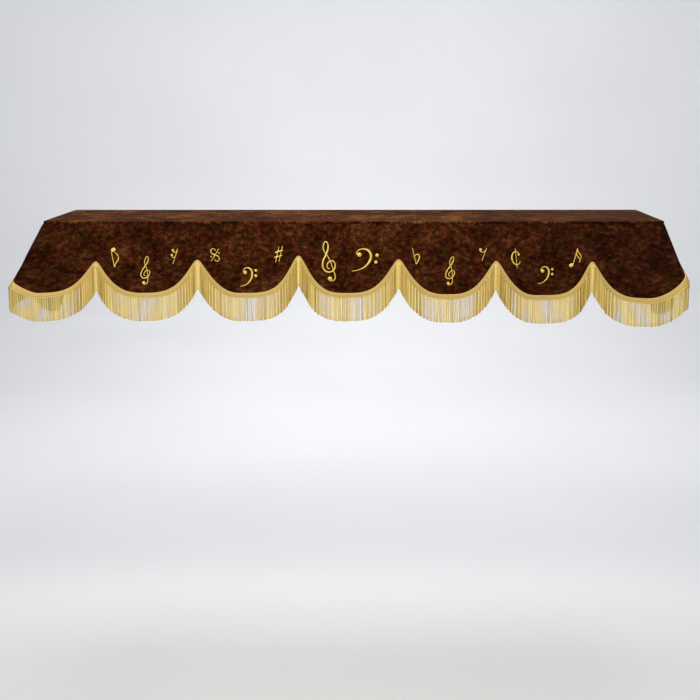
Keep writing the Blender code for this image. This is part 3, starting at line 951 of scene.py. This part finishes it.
# Embroidered signs, drawn in a box 1 high: each stroke is a row of (x, y, width), and each dot
# is (x, y, radius).
signs = {
    "treble": {
        "strokes": (
            ((0.03, -0.46, 0.022), (0.11, -0.455, 0.028), (0.165, -0.40, 0.034),
             (0.155, -0.30, 0.034), (0.11, -0.18, 0.028), (0.05, -0.02, 0.026),
             (-0.04, 0.14, 0.028), (-0.13, 0.25, 0.034), (-0.155, 0.34, 0.036),
             (-0.14, 0.43, 0.034), (-0.095, 0.49, 0.030), (-0.045, 0.455, 0.036),
             (-0.025, 0.37, 0.044), (-0.04, 0.27, 0.048), (-0.09, 0.16, 0.048),
             (-0.15, 0.05, 0.046), (-0.175, -0.06, 0.048), (-0.155, -0.16, 0.046),
             (-0.08, -0.23, 0.044), (0.03, -0.245, 0.040), (0.13, -0.19, 0.042),
             (0.165, -0.10, 0.040), (0.14, -0.01, 0.036), (0.06, 0.025, 0.034),
             (-0.02, -0.015, 0.032), (-0.055, -0.09, 0.030), (-0.03, -0.155, 0.026),
             (0.02, -0.17, 0.022)),
        ),
        "dots": ((0.025, -0.41, 0.055),),
    },
    "bass": {
        "strokes": (
            ((-0.24, 0.22, 0.10), (-0.34, 0.27, 0.06), (-0.33, 0.37, 0.045), (-0.24, 0.45, 0.045),
             (-0.10, 0.485, 0.055), (0.05, 0.46, 0.085), (0.17, 0.37, 0.12), (0.235, 0.22, 0.14),
             (0.225, 0.05, 0.13), (0.15, -0.12, 0.105), (0.02, -0.27, 0.075), (-0.16, -0.39, 0.05),
             (-0.36, -0.46, 0.035), (-0.55, -0.49, 0.024)),
        ),
        "dots": ((-0.235, 0.235, 0.10), (0.49, 0.21, 0.075), (0.44, -0.10, 0.075)),
    },
    "segno": {
        "strokes": (
            ((-0.31, -0.46, 0.05), (0.0, 0.0, 0.05), (0.30, 0.47, 0.05)),
            ((0.05, 0.33, 0.05), (-0.03, 0.43, 0.055), (-0.16, 0.47, 0.06), (-0.29, 0.41, 0.07),
             (-0.33, 0.26, 0.08), (-0.24, 0.11, 0.09), (0.0, 0.0, 0.10), (0.24, -0.10, 0.09),
             (0.33, -0.24, 0.08), (0.29, -0.40, 0.07), (0.15, -0.46, 0.06), (0.02, -0.42, 0.055),
             (-0.05, -0.32, 0.05)),
        ),
        "dots": ((-0.32, -0.12, 0.055), (0.32, 0.14, 0.055)),
    },
    "sharp": {
        "strokes": (
            ((-0.20, -0.49, 0.05), (0.02, 0.45, 0.05)), ((0.02, -0.44, 0.05), (0.25, 0.50, 0.05)),
            ((-0.22, 0.10, 0.09), (0.27, 0.25, 0.09)), ((-0.27, -0.21, 0.09), (0.22, -0.06, 0.09)),
        ),
        "dots": (),
    },
    "flat": {
        "strokes": (
            ((-0.22, 0.50, 0.05), (-0.13, 0.0, 0.055), (-0.03, -0.49, 0.05)),
            ((-0.12, -0.02, 0.05), (0.0, 0.10, 0.06), (0.14, 0.12, 0.085), (0.23, 0.02, 0.10),
             (0.20, -0.14, 0.09), (0.10, -0.33, 0.065), (-0.03, -0.49, 0.045)),
        ),
        "dots": (),
    },
    "quaverDown": {
        "strokes": (
            ((-0.17, 0.30, 0.045), (-0.10, -0.05, 0.05), (-0.01, -0.50, 0.05)),
            ((-0.01, -0.48, 0.05), (0.06, -0.30, 0.055), (0.16, -0.14, 0.065), (0.19, 0.0, 0.055),
             (0.12, 0.14, 0.04), (0.02, 0.25, 0.035)),
            ((-0.15, 0.32, 0.19), (-0.06, 0.38, 0.29), (0.03, 0.44, 0.19)),
        ),
        "dots": (),
    },
    "doubleRest": {
        "strokes": (
            ((0.24, 0.49, 0.05), (0.06, 0.02, 0.055), (-0.14, -0.50, 0.055)),
            ((-0.14, 0.37, 0.07), (-0.05, 0.27, 0.06), (0.07, 0.27, 0.05), (0.19, 0.37, 0.045)),
            ((-0.23, 0.04, 0.07), (-0.15, -0.07, 0.06), (-0.04, -0.07, 0.05), (0.09, 0.05, 0.045)),
        ),
        "dots": ((-0.12, 0.40, 0.085), (-0.21, 0.07, 0.085)),
    },
    "singleRest": {
        "strokes": (
            ((0.30, 0.46, 0.06), (0.12, 0.0, 0.065), (-0.08, -0.50, 0.065)),
            ((-0.24, 0.29, 0.08), (-0.13, 0.17, 0.07), (0.03, 0.17, 0.06), (0.20, 0.28, 0.055)),
        ),
        "dots": ((-0.21, 0.34, 0.115),),
    },
    "cutTime": {
        "strokes": (
            ((0.02, 0.50, 0.045), (0.02, 0.0, 0.045), (0.02, -0.50, 0.045)),
            ((0.21, 0.20, 0.06), (0.15, 0.31, 0.05), (0.03, 0.35, 0.055), (-0.13, 0.27, 0.085),
             (-0.22, 0.10, 0.11), (-0.23, -0.07, 0.11), (-0.15, -0.25, 0.085), (0.0, -0.34, 0.055),
             (0.13, -0.31, 0.045), (0.24, -0.18, 0.035)),
        ),
        "dots": ((0.19, 0.19, 0.06),),
    },
    "semiquaver": {
        "strokes": (
            ((-0.07, -0.36, 0.045), (0.04, 0.05, 0.045), (0.16, 0.48, 0.05)),
            ((0.16, 0.47, 0.06), (0.19, 0.33, 0.06), (0.30, 0.20, 0.06), (0.36, 0.06, 0.05),
             (0.33, -0.06, 0.04)),
            ((0.11, 0.26, 0.06), (0.14, 0.12, 0.06), (0.25, 0.0, 0.06), (0.31, -0.12, 0.05),
             (0.28, -0.24, 0.04)),
            ((-0.26, -0.44, 0.18), (-0.17, -0.39, 0.27), (-0.08, -0.33, 0.18)),
        ),
        "dots": (),
    },
}
# the small bass clefs carry their two dots higher
signs["smallBass"] = {
    "strokes": signs["bass"]["strokes"],
    "dots": (signs["bass"]["dots"][0], (0.49, 0.34, 0.075), (0.49, 0.06, 0.075)),
}
embroidery = {
    "leastWidth": 0.0016,  # narrowest satin column
    "slim": 0.76,  # width of a column against the drawing
    "flatness": 0.42,  # raised height against half width
    "steps": 6,  # between the points of a stroke
    "dotFaces": (14, 8),  # round a dot, from pole to pole
    # sign, x, drop, height, width against the drawing, lean to the right
    "places": (
        ("quaverDown", -0.6211, 0.0913, 0.0511, 1.0, 0.0),
        ("treble", -0.5404, 0.1272, 0.0763, 0.86, 0.27),
        ("doubleRest", -0.4649, 0.0893, 0.0393, 0.88, 0.0),
        ("segno", -0.3588, 0.0858, 0.0348, 0.95, 0.0),
        ("smallBass", -0.2717, 0.1434, 0.0500, 0.78, 0.0),
        ("sharp", -0.1924, 0.0838, 0.0431, 0.95, 0.0),
        ("treble", -0.0608, 0.1036, 0.1078, 0.89, 0.0),
        ("bass", 0.0335, 0.0987, 0.0592, 1.065, 0.0),
        ("flat", 0.1663, 0.0888, 0.0412, 0.90, -0.07),
        ("treble", 0.2574, 0.1280, 0.0773, 0.86, 0.27),
        ("singleRest", 0.3400, 0.0836, 0.0339, 0.90, 0.0),
        ("cutTime", 0.4257, 0.0937, 0.0497, 0.88, -0.11),
        ("smallBass", 0.5040, 0.1379, 0.0455, 0.76, 0.0),
        ("semiquaver", 0.5774, 0.0925, 0.0496, 0.93, 0.0),
    ),
}


def onSign(x, y, height, widen, lean):
    return ((x * widen + y * lean) * height, y * height, 0)


def stitchStroke(points, *shape):
    # one column of satin stitch: a bevelled curve whose thickness follows the stroke
    bpy.ops.object.select_all(action="DESELECT")
    bpy.ops.curve.primitive_bezier_curve_add()
    stroke = bpy.context.object
    curve = stroke.data
    curve.dimensions = "3D"
    curve.twist_mode = "Z_UP"
    curve.resolution_u = embroidery["steps"]
    curve.bevel_depth = 1.0
    curve.bevel_resolution = 2
    curve.use_fill_caps = True
    line = curve.splines[0].bezier_points
    line.add(len(points) - len(line))
    for knot, (x, y, width) in zip(line, points):
        knot.co = onSign(x, y, *shape)
        knot.handle_left_type = knot.handle_right_type = "AUTO"
        knot.radius = max(embroidery["slim"] * width * shape[0], embroidery["leastWidth"]) / 2
    bpy.ops.object.convert(target="MESH")
    return bpy.context.object


def stitchDot(x, y, radius, *shape):
    bpy.ops.object.select_all(action="DESELECT")
    size = max(radius * shape[0], embroidery["leastWidth"] / 2)
    segments, rings = embroidery["dotFaces"]
    bpy.ops.mesh.primitive_uv_sphere_add(
        segments=segments, ring_count=rings, radius=size, location=onSign(x, y, *shape))
    bpy.ops.object.transform_apply(location=True)
    return bpy.context.object


def edgeUnder(x, drop):
    # the place round the rim whose cloth hangs at this x
    edge = x
    for _ in range(8):
        edge += x - clothPoint(edge, drop)[0]
    return edge


def embroiderSign(kind, x, drop, *shape):
    # shape is the sign's height, width against the drawing and lean
    drawing = signs[kind]
    parts = [stitchStroke(points, *shape) for points in drawing["strokes"]]
    parts += [stitchDot(*dot, *shape) for dot in drawing["dots"]]
    bpy.ops.object.select_all(action="DESELECT")
    for part in parts:
        part.select_set(True)
    bpy.context.view_layer.objects.active = parts[0]
    if len(parts) > 1:
        bpy.ops.object.join()
    sign = bpy.context.object
    face = skirt["thick"]
    places = []
    for vertex in sign.data.vertices:
        lift = embroidery["flatness"] * vertex.co.z
        under = drop - vertex.co.y
        edge = edgeUnder(x + vertex.co.x, under)
        relief = skirtRelief(edge, under, scallopedHem(edge), False)
        places.append(offCloth(edge, under, face + relief + lift))
    moveVertices(sign, places)
    return sign


def embroider():
    made = [embroiderSign(*place) for place in embroidery["places"]]
    bpy.ops.object.select_all(action="DESELECT")
    for sign in made:
        sign.select_set(True)
    bpy.context.view_layer.objects.active = made[0]
    bpy.ops.object.join()
    piece = startPiece("musicEmbroidery", satinStitch)
    bpy.ops.object.mode_set(mode="EDIT")
    bpy.ops.mesh.select_all(action="SELECT")
    bpy.ops.mesh.normals_make_consistent(inside=False)
    bpy.ops.object.mode_set(mode="OBJECT")
    smooth(piece, 60)
    print("musicEmbroidery stitched,", len(made), "signs,", len(piece.data.polygons), "faces")
    return piece


signPiece = embroider()

# Studio: a pale floor that curves up all round, far enough out to hold every camera.
studio = {
    "floor": -1.31,
    "radius": 7.0,
    "tones": ((0.3, "#e7e8ea"), (0.7, "#ebecee")),
    # radius and rise, from the floor to the top of the wall
    "cove": ((7.0, 0.0), (7.8, 0.10), (8.5, 0.42), (9.0, 0.95), (9.25, 1.7), (9.3, 2.8),
             (9.3, 6.5)),
}


def makePaper():
    # matt paper, so pale and even that it reads as plain light
    made, tree, shader = newMaterial("paleStudioPaper", "#e6e7e9")
    place = addNode(tree, "TexCoord", {}).outputs["Object"]
    faint = addNode(tree, "TexNoise", {"Vector": place, "Scale": 0.8, "Detail": 2.0})
    tones = addNode(tree, "ValToRGB", {"Fac": faint.outputs["Fac"]}, studio["tones"])
    setSockets(tree, shader, {
        "Base Color": tones.outputs["Color"], "Roughness": 0.95, "Specular IOR Level": 0.0})
    return made


def buildStudio():
    bpy.ops.object.select_all(action="DESELECT")
    bpy.ops.mesh.primitive_circle_add(vertices=128, radius=studio["radius"], fill_type="NGON")
    piece = startPiece("studioFloor", makePaper())
    data = piece.data
    places = [(v.co.x, v.co.y, studio["floor"]) for v in data.vertices]
    moveVertices(piece, places)
    last = 0
    for radius, rise in studio["cove"][1:]:
        bpy.ops.object.mode_set(mode="EDIT")
        bpy.ops.mesh.select_mode(type="EDGE")
        if last == 0:
            bpy.ops.mesh.select_all(action="SELECT")
            bpy.ops.mesh.region_to_loop()
        last = len(data.vertices)
        bpy.ops.mesh.extrude_edges_move()
        bpy.ops.object.mode_set(mode="OBJECT")
        for vertex in data.vertices:
            if vertex.select:
                scale = radius / math.hypot(vertex.co.x, vertex.co.y)
                vertex.co = (vertex.co.x * scale, vertex.co.y * scale, studio["floor"] + rise)
    smooth(piece, 60)
    return piece


studioFloor = buildStudio()

lights = {
    # place, what it is aimed at, width, height, spread, watts, colour
    "keyPanel": ((-0.05, -1.40, 1.05), (-0.03, -0.1, -0.12), 0.8, 0.5, 180, 27, "#fff4e6"),
    "overheadPanel": ((0.0, 0.4, 3.4), (0.0, 0.4, -1.3), 3.0, 3.0, 180, 90, "#ffffff"),
    "wallWash": ((0.0, 4.0, 3.6), (0.0, 9.3, 0.2), 9.0, 0.8, 120, 79, "#ffffff"),
    "wallGlow": ((0.0, 6.0, 2.0), (0.0, 9.0, -0.9), 1.6, 0.6, 120, 12, "#ffffff"),
    "floorGlow": ((0.0, 3.6, 3.6), (0.0, 3.8, -1.3), 1.6, 4.0, 90, 38, "#ffffff"),
}


def hangLight(name, place, aim, width, height, spread, watts, colour):
    bpy.ops.object.select_all(action="DESELECT")
    bpy.ops.object.light_add(type="AREA", location=place)
    light = bpy.context.object
    light.name = name
    light.data.shape = "RECTANGLE"
    light.data.size, light.data.size_y = width, height
    light.data.spread = math.radians(spread)
    light.data.energy = watts
    light.data.color = toLinear(colour)[:3]
    beam = Vector(aim) - Vector(place)
    light.rotation_euler = beam.to_track_quat("-Z", "Y").to_euler()


for name, row in lights.items():
    hangLight(name, *row)
world = bpy.data.worlds.new("softStudioAir")
bpy.context.scene.world = world
world.use_nodes = True
air = world.node_tree.nodes["Background"]
setSockets(world.node_tree, air, {"Color": toLinear("#f0f2f5"), "Strength": 0.42})
bpy.context.scene.view_settings.view_transform = "Standard"
print("studio lit")

fringeParts = [headerPiece, strandPiece]
for piece in (topCloth, skirtFront, skirtRight, skirtBack, skirtLeft):
    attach(piece, "root")
for piece in (headerPiece, strandPiece, signPiece):
    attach(piece, "root")
for piece in fringeParts:
    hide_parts("fringe")
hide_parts("top_panel")
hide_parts("skirt_front")
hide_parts("skirt_right")
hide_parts("skirt_back")
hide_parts("skirt_left")
